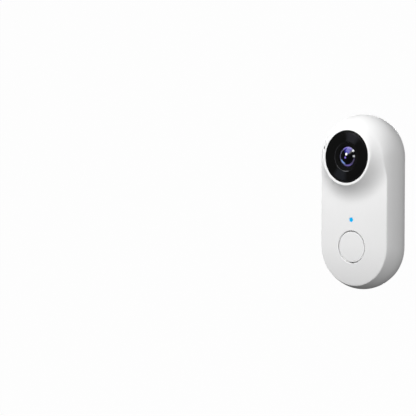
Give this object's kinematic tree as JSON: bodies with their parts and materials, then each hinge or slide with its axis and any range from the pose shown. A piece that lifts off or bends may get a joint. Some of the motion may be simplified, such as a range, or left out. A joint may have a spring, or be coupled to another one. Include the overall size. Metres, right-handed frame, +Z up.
{
  "type": "video doorbell",
  "caption": "Pill-shaped battery video doorbell with a raised black camera eye, status light and round bell button, hung on a slim wall plate.",
  "frame": {"origin": "centre of the adhesive pad back face, where the doorbell meets the wall", "axes": "+Z up along the long side, +Y into the wall, front faces -Y, +X to the right of someone facing the door"},
  "size_m": [0.05, 0.0269, 0.0992],
  "materials": {
    "white_shell": "satin moulded white",
    "grey_plastic": "fine textured grey",
    "black_window": "polished black, passes infrared",
    "black_plastic": "moulded black",
    "black_rubber": "matt black elastomer",
    "white_rubber": "matt white elastomer",
    "white_plastic": "moulded white",
    "foam": "closed cell foam",
    "lens_glass": "coated optical glass",
    "barrel_metal": "black anodised",
    "board_laminate": "green solder mask over glass laminate",
    "flex_film": "amber polyimide film",
    "steel": "zinc plated",
    "chip_epoxy": "moulded epoxy",
    "cell_foil": "laminated foil pouch",
    "red_wire": "silicone sleeve",
    "black_wire": "sleeve",
    "lamp_blue": "clear diffuser lit blue"
  },
  "bodies": {
    "wall_mount": {"adhesive_pad": "foam", "wall_plate": "grey_plastic"},
    "unit": {"front_housing": "white_shell", "rear_cover": "grey_plastic", "housing_seal": "black_rubber", "housing_screw_1": "steel", "housing_screw_2": "steel", "housing_screw_3": "steel", "housing_screw_4": "steel", "camera_window": "black_window", "lens_hood": "black_rubber", "front_lens": "lens_glass", "lens_barrel": "barrel_metal", "rear_lens": "lens_glass", "lens_holder": "black_plastic", "ir_filter": "lens_glass", "image_sensor": "chip_epoxy", "camera_board": "board_laminate", "camera_screw_1": "steel", "camera_screw_2": "steel", "camera_flex": "flex_film", "lamp_board": "board_laminate", "ir_lamp_1": "chip_epoxy", "ir_lamp_2": "chip_epoxy", "ir_lamp_3": "chip_epoxy", "ir_lamp_4": "chip_epoxy", "light_sensor": "chip_epoxy", "lamp_flex": "flex_film", "main_board": "board_laminate", "board_screw_1": "steel", "board_screw_2": "steel", "shield_can": "steel", "radio_module": "steel", "power_inductor": "chip_epoxy", "battery_cell": "cell_foil", "battery_plug": "white_plastic", "battery_lead_red": "red_wire", "battery_lead_black": "black_wire", "antenna": "flex_film", "antenna_cable": "black_wire", "mic_gasket": "foam", "microphone": "steel", "mic_board": "board_laminate", "mic_flex": "flex_film", "speaker_gasket": "foam", "speaker_frame": "black_plastic", "speaker_cone": "black_plastic", "speaker_magnet": "steel", "status_light_pipe": "lamp_blue", "status_led": "chip_epoxy", "button_membrane": "white_rubber", "bell_switch": "black_plastic", "port_board": "board_laminate", "port_socket": "steel", "reset_switch": "black_plastic"},
    "button": {"bell_button": "white_shell", "bell_switch_stem": "white_plastic"},
    "flap": {"port_cover": "white_rubber"},
    "reset": {"reset_key": "black_plastic"}
  },
  "joints": [
    {"name": "unit_lift", "type": "slide", "parent": "wall_mount", "child": "unit", "axis": [0, 0, 1], "range_m": [0, 0.006]},
    {"name": "bell_button_press", "type": "slide", "parent": "unit", "child": "button", "axis": [0, 1, 0], "range_m": [0, 0.0008], "stiffness_N_per_m": 300},
    {"name": "port_cover_hinge", "type": "hinge", "parent": "unit", "child": "flap", "pos_m": [-0.0085, -0.0097, -0.04811], "axis": [0, 1, 0], "range_deg": [0, 100], "stiffness_Nm_per_rad": 0.002},
    {"name": "reset_press", "type": "slide", "parent": "unit", "child": "reset", "axis": [0, 0, 1], "range_m": [0, 0.0003], "stiffness_N_per_m": 300}
  ]
}
